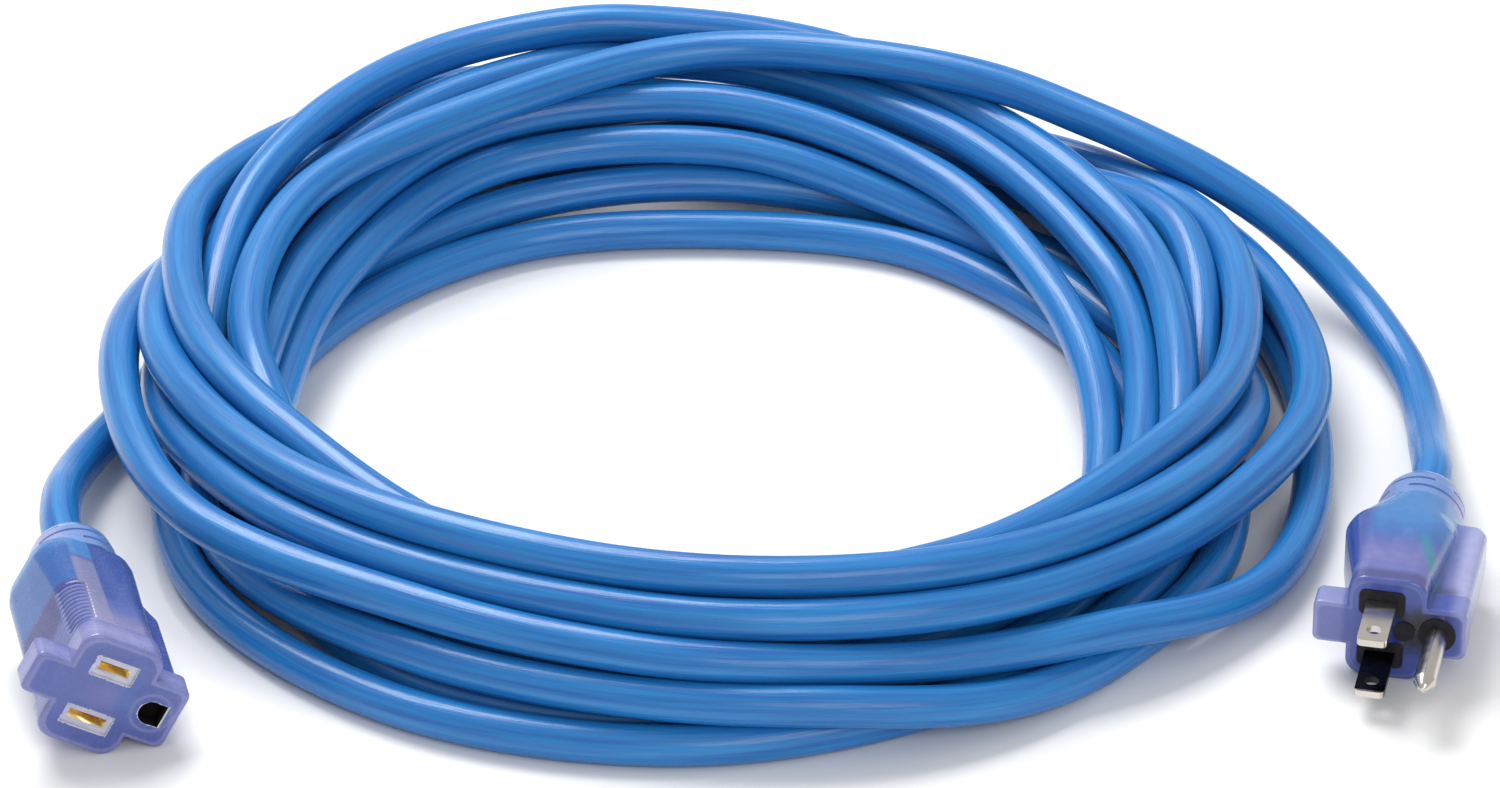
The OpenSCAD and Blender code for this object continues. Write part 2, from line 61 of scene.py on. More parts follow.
CORD_D = 9.0
COIL_AT = np.array((-8.0, 0.0, 0.0))
CORD_OFFSET = 2.0
EXIT_STRAIGHT = 10.0
PLUG_BODY_L, CONNECTOR_BODY_L, RELIEF_L = 40.5, 46, 13


class End:
    """The place of a plug or connector. Its face is at local z = 0 and its body is below."""

    def __init__(self, at, yaw, roll, length):
        turn = (Matrix.Rotation(math.radians(yaw), 4, "Z") @ Matrix.Rotation(math.pi / 2, 4, "X")
                @ Matrix.Rotation(math.radians(roll), 4, "Z"))
        self.place = Matrix.Translation(Vector(at)) @ turn
        self.back = -np.array(turn.col[2][:3])
        self.exit = self.point((CORD_OFFSET, 0, -length))

    def point(self, local):
        return np.array(self.place @ Vector(local))


PLUG = End((131.7, -93.8, 12.3), -12.4, 0, PLUG_BODY_L + RELIEF_L)
CONNECTOR = End((-135.9, -123.2, 14.8395), 12.8, -30, CONNECTOR_BODY_L + RELIEF_L)
PLUG_TAIL = ((78, 92, 31), (91, 84.5, 28.5), (104, 77, 25), (117, 68.5, 20), (128, 58.5, 14.5),
             (137, 46.5, 9.5), (142.5, 35, 6.8), (147, 20, 5.2), (148.5, 1, 5.5), (148, -15, 8.5))
CONNECTOR_TAIL = ((-121.5, 64, 4.8), (-126, 48, 4.8), (-130.5, 32, 4.8), (-135.5, 16, 4.8),
                  (-141.5, 0, 5.2), (-146.5, -13, 6), (-149.5, -26, 8), (-150.5, -40, 11.5))

# ---- The cord's route: stations, a smooth line, then strands pushed apart ----

# One (radius, height) per STATION_STEP degrees, clockwise. The strands that show were read, and
# converted to radii by a separate program for a guessed height. The hidden ones are guesses.
TURNS = (
    (None, (131, 4.5), (130, 4.5), (123, 4.5), (126, 4.5), (131, 4.5),
     (131, 4.5), (134, 4.5), (121, 12), (119, 20), (118, 23), (131, 24)),
    ((132, 24), (133, 13), (127, 12), (119, 13), (125, 17), (127, 21),
     (114, 22), (103, 26), (101, 25), (101, 25), (100, 27), (102, 31)),
    ((117, 32), (133, 28), (133, 25), (119, 22), (116, 17), (118, 24),
     (106, 13), (112, 6), (119, 4.5), (126, 4.5), (130, 4.5), (129, 4.5)),
    ((118, 4.5), (106, 8), (101, 11), (97, 12), (104, 5), (109, 6),
     (117, 12.5), (111, 22), (110, 30), (106, 33), (106, 33), (112, 31)),
    ((123, 28), (129, 20), (126, 19), (129, 11), (133, 12), (134, 13),
     (131, 13.5), (119, 17), (115, 23), (112, 26), (110, 26), (117, 24)),
    ((123, 19), (119, 24), (124, 28), (128, 25), (110, 25), (101, 16),
     (94, 14), (99, 12), (105, 12), (111, 12.5), (112, 13), (110, 12.5)),
    ((100, 17), (104, 22), (112, 26), (105, 28), (98, 20), (86, 15),
     (84, 11), (92, 7), (101, 5), (107, 4.5), (106, 4.5), (103, 4.5)),
    ((104, 4.5), (99, 4.5), (94, 4.5), (88, 4.5), (91, 4.5), (90, 4.5),
     (93, 4.5), (101, 4.5), (110, 4.5), (117, 4.5), (120, 4.5), (113, 6)),
    ((98, 10), (100, 13), (106, 18), (98, 20), (95, 11), (99, 5),
     (109, 4.5), (122, 4.5), (127, 6), (123, 12), (122, 13), (122, 11)),
    ((115, 19), (121, 33), (130, 36), (125, 34), (118, 26), (109, 22),
     (102, 20), (107, 14), (107, 20), (108, 20), (107, 21), (101, 19)),
    ((105, 26), (109, 32), (106, 35), (116, 36), (120, 35)),
)
FIRST_BEARING = 150
STATION_STEP = 30
STEP = 4.0
ROUNDS = 240
PULL_BACK = 0.01
FIXED_POINTS = 45
FIXED_SHARE = 0.15
SEARCH_EVERY = 8
SEARCH_REACH = 1.5 * CORD_D
NEIGHBOUR_L = 2.2 * CORD_D


def coil_stations():
    stations = [s for turn in TURNS for s in turn if s is not None]
    out = []
    for i, (radius, height) in enumerate(stations):
        bearing = math.radians(FIRST_BEARING - STATION_STEP * i)
        out.append(COIL_AT + (radius * math.cos(bearing), radius * math.sin(bearing), height))
    return out


def smooth_line(points, spacing):
    """A centripetal Catmull-Rom line through the points."""
    p = [np.array(q, float) for q in points]
    p = [2 * p[0] - p[1]] + p + [2 * p[-1] - p[-2]]
    out = []
    for a, b, c, d in zip(p, p[1:], p[2:], p[3:]):
        t1 = np.linalg.norm(b - a) ** 0.5
        t2 = t1 + np.linalg.norm(c - b) ** 0.5
        t3 = t2 + np.linalg.norm(d - c) ** 0.5
        n = max(2, int(np.linalg.norm(c - b) / spacing))
        for t in np.linspace(t1, t2, n, endpoint=False):
            a1 = (t1 - t) / t1 * a + t / t1 * b
            a2 = (t2 - t) / (t2 - t1) * b + (t - t1) / (t2 - t1) * c
            a3 = (t3 - t) / (t3 - t2) * c + (t - t2) / (t3 - t2) * d
            b1 = (t2 - t) / t2 * a1 + t / t2 * a2
            b2 = (t3 - t) / (t3 - t1) * a2 + (t - t1) / (t3 - t1) * a3
            out.append((t2 - t) / (t2 - t1) * b1 + (t - t1) / (t2 - t1) * b2)
    out.append(p[-2])
    return np.array(out)


def resample(line, step):
    """Points along the line, a step apart."""
    seg = np.linalg.norm(np.diff(line, axis=0), axis=1)
    along = np.concatenate(([0], np.cumsum(seg)))
    t = np.linspace(0, along[-1], int(round(along[-1] / step)) + 1)
    return np.column_stack([np.interp(t, along, line[:, k]) for k in range(3)])


def averaged(u):
    v = u.copy()
    v[1:-1] = 0.25 * u[:-2] + 0.5 * u[1:-1] + 0.25 * u[2:]
    return v


def push_apart(target):
    """Moves strands that lie in each other apart, and keeps the line smooth and off the floor."""
    n = len(target)
    line = target.copy()
    from_end = np.minimum(np.arange(n), np.arange(n)[::-1])
    ramp = (from_end / FIXED_POINTS - FIXED_SHARE).clip(0, 1)[:, None]
    gap = int(NEIGHBOUR_L / STEP)
    for k in range(ROUNDS):
        if k % SEARCH_EVERY == 0:
            sq = (line ** 2).sum(1)
            dist2 = sq[:, None] + sq[None] - 2 * line @ line.T
            i, j = np.nonzero(np.triu(dist2 < SEARCH_REACH ** 2, gap))
        away = line[i] - line[j]
        dist = np.maximum(np.linalg.norm(away, axis=1), 1e-6)
        over = np.maximum(CORD_D - dist, 0)
        push = away / dist[:, None] * over[:, None] * 0.5
        total, count = np.zeros_like(line), np.zeros(n)
        np.add.at(total, i, push)
        np.add.at(total, j, -push)
        np.add.at(count, i[over > 0], 1)
        np.add.at(count, j[over > 0], 1)
        line += total / np.maximum(count, 1)[:, None] ** 0.5 * ramp
        moved = averaged(averaged(averaged(line - target))) * (1 - PULL_BACK)
        line = target + moved * ramp
        line[:, 2] = np.maximum(line[:, 2], CORD_D / 2)
    return line


def cord_route():
    """The whole centre line in millimetres, from the plug's exit to the connector's."""
    points = [CONNECTOR.exit, CONNECTOR.exit + EXIT_STRAIGHT * CONNECTOR.back]
    points += list(reversed(CONNECTOR_TAIL)) + coil_stations()[1:] + list(PLUG_TAIL)
    points += [PLUG.exit + EXIT_STRAIGHT * PLUG.back, PLUG.exit]
    line = push_apart(resample(smooth_line(points, 2.0), STEP))
    return line[::-1] + WHOLE_SHIFT


# ---- Materials ----


def shader_parts(name):
    material = bpy.data.materials.new(name)
    material.use_nodes = True
    tree = material.node_tree
    return material, tree, tree.nodes["Principled BSDF"]


def noise_at(tree, vector, scale, detail=3.0, stretch=None):
    if stretch:
        mapping = tree.nodes.new("ShaderNodeMapping")
        mapping.inputs["Scale"].default_value = stretch
        tree.links.new(vector, mapping.inputs["Vector"])
        vector = mapping.outputs["Vector"]
    noise = tree.nodes.new("ShaderNodeTexNoise")
    noise.inputs["Scale"].default_value = scale
    noise.inputs["Detail"].default_value = detail
    tree.links.new(vector, noise.inputs["Vector"])
    return noise.outputs["Fac"]


def ramp_of(tree, fac, stops):
    ramp = tree.nodes.new("ShaderNodeValToRGB")
    ramp.color_ramp.elements.remove(ramp.color_ramp.elements[1])
    for i, (at, colour) in enumerate(stops):
        element = ramp.color_ramp.elements[0] if i == 0 else ramp.color_ramp.elements.new(at)
        element.position = at
        element.color = (*colour, 1)
    tree.links.new(fac, ramp.inputs["Fac"])
    return ramp.outputs["Color"]


def ranged(tree, fac, low, high, from_low=0.3, from_high=0.7):
    node = tree.nodes.new("ShaderNodeMapRange")
    node.inputs["From Min"].default_value = from_low
    node.inputs["From Max"].default_value = from_high
    node.inputs["To Min"].default_value = low
    node.inputs["To Max"].default_value = high
    tree.links.new(fac, node.inputs["Value"])
    return node.outputs["Result"]


def bumped(tree, shader, height, strength, distance):
    bump = tree.nodes.new("ShaderNodeBump")
    bump.inputs["Strength"].default_value = strength
    bump.inputs["Distance"].default_value = distance
    tree.links.new(height, bump.inputs["Height"])
    tree.links.new(bump.outputs["Normal"], shader.inputs["Normal"])


def finish(name, dark, light, scale, rough, bump, stretch=None, coords="Object", metallic=0.0,
           coat=0.0, specular=0.5, alpha=1.0, painted=False):
    """A procedural finish: mottled colour, uneven roughness and fine relief.

    A painted finish takes its colour from the mesh's own attribute "paint", mottled by dark and
    light as factors."""
    material, tree, shader = shader_parts(name)
    vector = tree.nodes.new("ShaderNodeTexCoord").outputs[coords]
    grain = noise_at(tree, vector, scale, stretch=stretch)
    colour = ramp_of(tree, grain, ((0.3, dark), (0.7, light)))
    if painted:
        attribute = tree.nodes.new("ShaderNodeAttribute")
        attribute.attribute_name = "paint"
        mix = tree.nodes.new("ShaderNodeMix")
        mix.data_type = "RGBA"
        mix.blend_type = "MULTIPLY"
        mix.inputs["Factor"].default_value = 1
        tree.links.new(attribute.outputs["Color"], mix.inputs["A"])
        tree.links.new(colour, mix.inputs["B"])
        colour = mix.outputs["Result"]
    tree.links.new(colour, shader.inputs["Base Color"])
    fine = noise_at(tree, vector, scale * 3.5, 2.0, stretch)
    tree.links.new(ranged(tree, fine, *rough), shader.inputs["Roughness"])
    bumped(tree, shader, fine, bump[0], bump[1])
    shader.inputs["Metallic"].default_value = metallic
    shader.inputs["Coat Weight"].default_value = coat
    shader.inputs["Coat Roughness"].default_value = 0.12
    shader.inputs["Specular IOR Level"].default_value = specular
    shader.inputs["Alpha"].default_value = alpha
    return material


BLADE_END = 15.3
EDGE_SOFT = 0.0002


def paint_lit_end(material, end, depth, bright):
    """Turns a finish bright past a plane that lies depth in front of an end's face: painted light.
    """
    tree = material.node_tree
    shader = tree.nodes["Principled BSDF"]
    plane = (np.array(end.point((0, 0, depth))) + WHOLE_SHIFT) * MM
    facing = np.array(end.point((0, 0, 1))) - np.array(end.point((0, 0, 0)))
    offset = tree.nodes.new("ShaderNodeVectorMath")
    offset.operation = "SUBTRACT"
    offset.inputs[1].default_value = plane
    dot = tree.nodes.new("ShaderNodeVectorMath")
    dot.operation = "DOT_PRODUCT"
    dot.inputs[1].default_value = facing
    tree.links.new(tree.nodes.new("ShaderNodeTexCoord").outputs["Object"], offset.inputs[0])
    tree.links.new(offset.outputs["Vector"], dot.inputs[0])
    mix = tree.nodes.new("ShaderNodeMix")
    mix.data_type = "RGBA"
    mix.inputs["B"].default_value = (*bright, 1)
    tree.links.new(ranged(tree, dot.outputs["Value"], 0, 1, 0, EDGE_SOFT), mix.inputs["Factor"])
    tree.links.new(shader.inputs["Base Color"].links[0].from_socket, mix.inputs["A"])
    tree.links.new(mix.outputs["Result"], shader.inputs["Base Color"])


JACKET_DARK, JACKET_LIGHT = (0.010, 0.112, 0.385), (0.020, 0.215, 0.54)
jacket = finish("jacket", JACKET_DARK, JACKET_LIGHT, 6.0, (0.22, 0.36), (0.25, 0.0003),
                stretch=(4, 3, 1), coords="UV", coat=0.15, specular=0.4)
jacket_inner = finish("jacket_inner", JACKET_DARK, JACKET_LIGHT, 500.0, (0.3, 0.4), (0.1, 0.0001))
MOTTLE = ((0.86, 0.88, 0.92), (1.0, 1.0, 1.0))
plug_moulding = finish("plug_moulding", *MOTTLE, 420.0, (0.14, 0.26), (0.1, 0.00008), coat=0.4,
                       alpha=0.84, painted=True)
connector_moulding = finish("connector_moulding", *MOTTLE, 420.0, (0.18, 0.32), (0.12, 0.00008),
                            coat=0.35, alpha=0.84, painted=True)
relief_moulding = finish("relief_moulding", *MOTTLE, 300.0, (0.22, 0.34), (0.15, 0.0001),
                         coat=0.3, alpha=0.92, painted=True)
well_wall = finish("well_wall", (0.50, 0.51, 0.66), (0.64, 0.65, 0.78), 300.0, (0.12, 0.25),
                   (0.1, 0.00005), coat=0.3, alpha=0.85)
# Painted shade: a near-black finish for the ground hole's walls, standing in for the shade inside
# the recess.
hole_shade = finish("hole_shade", (0.004, 0.003, 0.004), (0.008, 0.006, 0.007), 500.0, (0.6, 0.7),
                   (0.1, 0.00005), specular=0.1)
black_plastic = finish("black_plastic", (0.012, 0.012, 0.015), (0.022, 0.022, 0.027), 900.0,
                       (0.35, 0.5), (0.2, 0.00005), specular=0.15)
nickel = finish("nickel", (0.56, 0.53, 0.48), (0.66, 0.62, 0.56), 60.0, (0.18, 0.26),
                (0.03, 0.00002), stretch=(1, 3, 1), metallic=1.0)
# Painted shade: a darkened copy of nickel for the lower blade, whose top face lies in shade.
shaded_nickel = finish("shaded_nickel", (0.016, 0.015, 0.017), (0.03, 0.028, 0.03), 60.0, (0.2, 0.3),
                     (0.03, 0.00002), stretch=(1, 3, 1), metallic=1.0)
# Painted light on the lower blade's end, which faces the light.
paint_lit_end(shaded_nickel, PLUG, BLADE_END, (0.66, 0.62, 0.56))
brass = finish("brass", (0.78, 0.54, 0.20), (0.86, 0.64, 0.28), 200.0, (0.18, 0.32), (0.1, 0.00005),
               metallic=1.0)
copper = finish("copper", (0.80, 0.38, 0.22), (0.88, 0.48, 0.30), 900.0, (0.25, 0.4), (0.3, 0.0001),
                metallic=1.0)
clear_block = finish("clear_block", (0.72, 0.76, 0.88), (0.82, 0.85, 0.93), 200.0, (0.15, 0.3),
                     (0.1, 0.0001), alpha=0.55)
wire_black = finish("wire_black", (0.012, 0.012, 0.012), (0.02, 0.02, 0.02), 600.0, (0.3, 0.45),
                    (0.1, 0.00005))
wire_white = finish("wire_white", (0.72, 0.72, 0.70), (0.80, 0.80, 0.78), 600.0, (0.3, 0.45),
                    (0.1, 0.00005))
wire_green = finish("wire_green", (0.01, 0.30, 0.17), (0.015, 0.38, 0.22), 600.0, (0.3, 0.45),
                    (0.1, 0.00005))
floor_paint = finish("floor_paint", (0.84, 0.84, 0.84), (0.86, 0.86, 0.86), 3.0, (0.6, 0.7),
                     (0.02, 0.0002))

# The first word that a node's name holds gives its finish.
# The lower blade takes the painted-shade copy of nickel.
LOWER_BLADE = "blade_hot"
NODE_FINISH = {
    "carrier": black_plastic, LOWER_BLADE: shaded_nickel, "blade": nickel, "pin": nickel,
    "contact_block": clear_block, "contact": brass, "copper": copper,
    "jacket_end": jacket_inner, "wire_hot": wire_black, "wire_neutral": wire_white,
    "wire_ground": wire_green,
}
for node_name, obj in nodes.items():
    for word, material in NODE_FINISH.items():
        if word in node_name:
            obj.data.materials.clear()
            obj.data.materials.append(material)
            break

# ---- Meshes ----


def mesh_piece(name, points, faces, material, sharp=35):
    mesh = bpy.data.meshes.new(name)
    mesh.from_pydata([tuple(map(float, p)) for p in points], [], faces)
    mesh.validate()
    mesh.shade_smooth()
    mesh.set_sharp_from_angle(angle=math.radians(sharp))
    mesh.materials.append(material)
    obj = bpy.data.objects.new(name, mesh)
    bpy.context.collection.objects.link(obj)
    return obj


def ring_faces(rings, sides):
    """Quads between neighbouring rings of points."""
    faces = []
    for i in range(rings - 1):
        for k in range(sides):
            a, b = i * sides + k, i * sides + (k + 1) % sides
            faces.append((a, a + sides, b + sides, b))
    return faces


def make_cord(line, sides=20):
    """A tube along the line, with its length and its way round as UV."""
    way = np.gradient(line, axis=0)
    way /= np.linalg.norm(way, axis=1)[:, None]
    side = np.cross(way, (0, 0, 1))
    side /= np.linalg.norm(side, axis=1)[:, None]
    up = np.cross(side, way)
    angle = 2 * math.pi * np.arange(sides) / sides - math.pi / 2
    r = CORD_D / 2 * MM
    points = (line[:, None] + r * (side[:, None] * np.cos(angle)[None, :, None]
                                   + up[:, None] * np.sin(angle)[None, :, None])).reshape(-1, 3)
    n = len(line)
    faces = ring_faces(n, sides)
    faces += [tuple(range(sides)), tuple(range(n * sides - 1, (n - 1) * sides - 1, -1))]
    cord = mesh_piece("cord", points, faces, jacket)
    along = np.concatenate(([0], np.cumsum(np.linalg.norm(np.diff(line, axis=0), axis=1))))
    uv = cord.data.uv_layers.new(name="along")
    for face in cord.data.polygons:
        ks = [cord.data.loops[i].vertex_index % sides for i in face.loop_indices]
        wraps = 0 in ks and sides - 1 in ks
        for i, k in zip(face.loop_indices, ks):
            ring = cord.data.loops[i].vertex_index // sides
            uv.data[i].uv = (along[ring], (sides if wraps and k == 0 else k) / sides)
    return cord


line = cord_route() * MM
cord = make_cord(line)

# ---- Mouldings: one skin each, as the reach of every ray from the middle at every depth ----

ANGLES = np.linspace(0, 2 * math.pi, 288, endpoint=False)
LONGEST_REACH = 60.0
HALVINGS = 26


def reach(rect, cx):
    """How far each ray from (cx, 0) goes before it leaves a rounded rectangle."""
    x0, x1, half, r = rect
    mid = np.array(((x0 + x1) / 2, 0))
    size = np.array(((x1 - x0) / 2, half)) - r
    way = np.column_stack((np.cos(ANGLES), np.sin(ANGLES)))
    low, high = np.zeros(len(ANGLES)), np.full(len(ANGLES), LONGEST_REACH)
    for _ in range(HALVINGS):
        t = (low + high) / 2
        q = np.abs(np.array((cx, 0)) + way * t[:, None] - mid) - size
        outside = np.linalg.norm(np.maximum(q, 0), axis=1) + np.minimum(q.max(1), 0) - r > 0
        high, low = np.where(outside, t, high), np.where(outside, low, t)
    return low


def blended(reaches, soft):
    """The longest reach of each ray, with a soft corner where two shapes meet."""
    stack = np.array(reaches)
    top = stack.max(0)
    return top + soft * np.log(np.exp((stack - top) / soft).sum(0))


def shape_at(keys, t):
    """The rounded rectangle of a part of the body at depth t, or None outside its depths."""
    for (t0, a), (t1, b) in zip(keys, keys[1:]):
        if t0 <= t <= t1:
            s = (t - t0) / (t1 - t0)
            return [u + (v - u) * s for u, v in zip(a, b)]
    return None


def edge_round(t, depth, radius):
    """How far a rounded edge lies inside the outline at depth t of a slab."""
    near = min(t, depth - t)
    return radius - math.sqrt(max(radius ** 2 - (radius - near) ** 2, 0)) if near < radius else 0


FLANGE = 7.0
EDGE_R = 0.8
CREASE_SOFT = 0.12
FRONT_SHARES = np.linspace(0.03, 0.985, 26)
RIB_PITCH = 1.4
PIN_OFFSET = 11.86
HALF_SPACING = 6.35


def body_rows(block_h, block_back, arm_out, arm_h, body_l, shoulder_l, lobe_l, step):
    """(depth, reach of each ray) from the face to the strain relief.

    A rounded rectangle is (x0, x1, half height, corner radius). step is how far the flange
    stands out from the grip; a flange with no ledge is rounded at its front only."""
    block_front, tab_l, half_tab = 9.5, 7.2, 5.0
    h, a = block_h / 2, arm_h / 2
    flange = ((-block_back, block_front, h, 4.0), (-block_back - tab_l, 4.0, half_tab, 1.5),
              (0.0, arm_out, a, 1.8))
    ledge = step > EDGE_R / 4
    lobe_step, lobe_r = (0.8, 3.0) if ledge else (0.1, 2.0)
    shoulder = body_l - shoulder_l
    neck = (-7.8, 11.8, 9.8, 9.78)
    grip = ((FLANGE - 1, (-block_back + step, block_front - step, h - step, 4.0)),
            (shoulder - 1.5, (-11.9, 11.9, 11.0, 6.5)), (shoulder + 0.8, (-11.7, 11.9, 10.9, 7.2)),
            (shoulder + 0.35 * shoulder_l, (-10.6, 11.9, 10.6, 8.5)), (body_l, neck))
    lobe = ((FLANGE - 1, (0.0, arm_out - lobe_step, a - lobe_step, lobe_r)),
            (lobe_l, (0.0, arm_out - lobe_step - 0.2, a - lobe_step - 0.4, lobe_r)),
            (lobe_l + 2, (0.0, arm_out - lobe_step - 1.0, a - lobe_step - 0.7, lobe_r)),
            (body_l - 2.5, (0.0, 12.0, a - 3.0, 2.0)))
    depths = [0, 0.06, 0.2, 0.4, 0.6, 0.8, 1.1, 2, 3, 4, 5, 5.8, 6.2, 6.4, 6.6, 6.8, 6.94, 7.0]
    depths += [7.01, 7.3] + list(np.arange(7.7, body_l - 0.2, 0.35)) + [body_l]
    rows = []
    for t in depths:
        parts = []
        if t <= FLANGE:
            for k, (x0, x1, half, r) in enumerate(flange):
                is_tab = k == 1
                e = edge_round(t, FLANGE if ledge or is_tab else 2 * FLANGE, EDGE_R)
                parts.append(reach((x0 + e, x1 - e, half - e, r), CORD_OFFSET))
            soft = CREASE_SOFT
        else:
            for keys in (grip, lobe):
                rect = shape_at(keys, t)
                if rect:
                    parts.append(reach(rect, CORD_OFFSET))
            soft = CREASE_SOFT + min((t - FLANGE) * 0.12, 0.6)
        rows.append((t, blended(parts, soft)))
    return rows


def skin(name, end, rows, material, paint):
    """A closed skin from rows of (depth, reaches), with a ringed front face to paint on."""
    sides = len(ANGLES)
    front = [(rows[0][0], rows[0][1] * share, share) for share in FRONT_SHARES]
    points, colours = [], []
    for t, far, share in front + [(t, far, None) for t, far in rows]:
        x, y = CORD_OFFSET + far * np.cos(ANGLES), far * np.sin(ANGLES)
        points += [end.place @ Vector((px, py, -t)) for px, py in zip(x, y)]
        colours.append(paint(t, x, y, share))
    n = len(front) + len(rows)
    faces = ring_faces(n, sides)
    faces += [tuple(range(sides - 1, -1, -1)), tuple(range((n - 1) * sides, n * sides))]
    points = [(np.array(p) + WHOLE_SHIFT) * MM for p in points]
    piece = mesh_piece(name, points, faces, material)
    rgba = np.ones((n * sides, 4), dtype=np.float32)
    rgba[:, :3] = np.concatenate(colours)
    attribute = piece.data.attributes.new("paint", "FLOAT_COLOR", "POINT")
    attribute.data.foreach_set("color", rgba.ravel())
    return piece


def step_to(value, start, end):
    """0 before start and 1 after end, smooth between them."""
    u = np.clip((value - start) / (end - start), 0, 1)
    return u * u * (3 - 2 * u)


def band(value, start, full, fading, end):
    """0 outside start to end and 1 between full and fading."""
    return step_to(value, start, full) * (1 - step_to(value, fading, end))


def over(colours, colour, share):
    """Lays a colour over an array of colours, by share."""
    share = np.broadcast_to(np.asarray(share, float), (len(colours),))[:, None]
    return colours * (1 - share) + np.array(colour) * share


NEAR_BLACK = (0.004, 0.004, 0.012)
DEEP, BLUE, SKY = (0.022, 0.062, 0.36), (0.045, 0.17, 0.50), (0.06, 0.24, 0.58)
VIOLET, LAVENDER, PALE = (0.058, 0.098, 0.42), (0.19, 0.20, 0.50), (0.42, 0.44, 0.70)
SMOKE, GREY, TEAL = (0.030, 0.030, 0.075), (0.09, 0.09, 0.25), (0.015, 0.30, 0.36)


# Each paint gives the colours of one ring of points: at depth t, or at a share of the front face.


def plug_paint(t, x, y, share):
    c = np.tile(np.array(VIOLET), (len(x), 1))
    if share is not None:
        # Near-black patches on the face: between the blade carriers and around the ground pin's
        # root.
        c = over(c, NEAR_BLACK, 0.98 * np.exp(-((x - 6.6) / 4.6) ** 4 - (y / 5.6) ** 4))
        c = over(c, NEAR_BLACK, 0.8 * np.exp(-((x - 10.6) / 4.6) ** 4 - ((y - 1.5) / 4.6) ** 4))
        c = over(c, LAVENDER, 0.6 * step_to(-x, 7.6, 9))
        # Painted highlight: a pale line along the face's rounded rim.
        return over(c, PALE, 0.25 * step_to(share, 0.97, 0.99))
    upper = step_to(y, 4, 9)
    if t <= FLANGE:
        c = over(c, GREY, step_to(y, 8, 11) * 0.9 * band(t, 0.4, 1.2, 3, 5))
        c = over(c, LAVENDER, step_to(y, 8, 11) * 0.8 * step_to(t, 3, 5))
        c = over(c, PALE, 0.55 * step_to(-x, 7.6, 9))
        c = over(c, PALE, 0.5 * step_to(x, 13, 16.5))
        # Painted highlight: the front edge of the flange is painted paler.
        return over(c, PALE, 0.12 * (t < 0.5))
    c = over(c, BLUE, step_to(t, 14, 22))
    c = over(c, LAVENDER, (1 - step_to(t, 10, 22)) * upper * 0.85)
    # Painted light: the top of the body's back half is painted sky blue.
    c = over(c, SKY, step_to(t, 20, 30) * step_to(y, 2, 8))
    # Painted shade: the left side is painted deep blue, less so towards the back.
    c = over(c, DEEP, step_to(-x, 4.5, 7.5) * (0.9 - 0.35 * step_to(t, 34, 40)))
    teal = np.exp(-((x - (9.4 - 0.3 * (t - 9))) / 1.2) ** 2) * band(t, 7, 10, 17, 23)
    c = over(c, TEAL, teal * step_to(y, 3, 6) * 0.8)
    c = over(c, LAVENDER, step_to(x, 10.6, 12.2) * 0.8)
    c = over(c, PALE, step_to(x, 12.2, 15.2) * (0.85 - 0.3 * step_to(t, 32, 38)))
    return over(c, SMOKE, 0.55 * band(x, 9, 11, 14, 16) * (1 - step_to(t, 8, 12)))


def connector_paint(t, x, y, share):
    c = np.tile(np.array((0.090, 0.125, 0.42)), (len(x), 1))
    if share is not None:
        c = over(c, LAVENDER, 0.6 * np.exp(-((x - 1) / 4.5) ** 2 - (y / 3.5) ** 2))
        c = over(c, BLUE, 0.5 * np.exp(-((x - 5.5) / 2) ** 2 - ((y - 2) / 4.5) ** 2))
        ring = np.abs(np.hypot(x - PIN_OFFSET, y) - 4.4)
        c = over(c, PALE, 0.35 * np.exp(-(ring / 0.35) ** 2))
        # Painted highlight: a pale band along the face's rounded rim.
        return over(c, PALE, 0.45 * step_to(share, 0.94, 0.99))
    if t <= FLANGE:
        c = over(c, LAVENDER, 0.9)
        return over(c, PALE, 0.45 * (1 - abs(t - 3) / 4))
    upper = step_to(y, 3, 6)
    facet = step_to(-x, 6.5, 7.5)
    c = over(c, SKY, step_to(t, 35, 36.5) * (1 - step_to(x, -2.0, -1.6)))
    c = over(c, (0.02, 0.12, 0.42), facet * band(t, 23, 26, 38, 42))
    c = over(c, (0.02, 0.03, 0.22), facet * band(t, 13, 16, 23, 26))
    middle = band(x, -7.5, -6.8, -2.0, -1.6)
    c = over(c, (0.24, 0.24, 0.42), middle * upper * (1 - step_to(t, 34, 35)) * 0.9)
    speckle = 0.7 + 0.3 * np.sin(37.1 * t + 11.3 * x) * np.sin(23.7 * y - 17.9 * t)
    frosted = step_to(x, -2.0, -1.6) * step_to(t, 14 + 0.5 * x, 22)
    c = over(c, (0.03, 0.075, 0.33), frosted * speckle * 0.9)
    pale = upper * (1 - step_to(t, 9, 17)) * (1 - step_to(x, 6, 9)) * step_to(x, -7.5, -6.8)
    c = over(c, (0.30, 0.28, 0.48), pale * 0.8)
    degrees = np.degrees(np.arctan2(y, x - CORD_OFFSET))
    # Painted light and shade on the grip ribs: the panel is painted deep blue, with pale crests
    # that follow the ribs' relief.
    ribs = band(degrees, 124, 127, 150, 153) * band(t, 8, 9, 23, 24)
    c = over(c, DEEP, ribs * 0.9)
    c = over(c, PALE, ribs * (0.35 + 0.35 * math.cos(2 * math.pi * t / RIB_PITCH)))
    return over(c, VIOLET, step_to(x, 12, 13) * 0.7)


def with_grip_ribs(rows):
    """Fine ribs across the upper left side of the connector's grip."""
    panel = band(np.degrees(ANGLES), 121, 124, 147, 150)
    out = []
    for t, far in rows:
        depth = 0.2 * math.cos(2 * math.pi * t / RIB_PITCH) - 0.22
        out.append((t, far + panel * band(t, 8, 9, 23, 24) * depth))
    return out


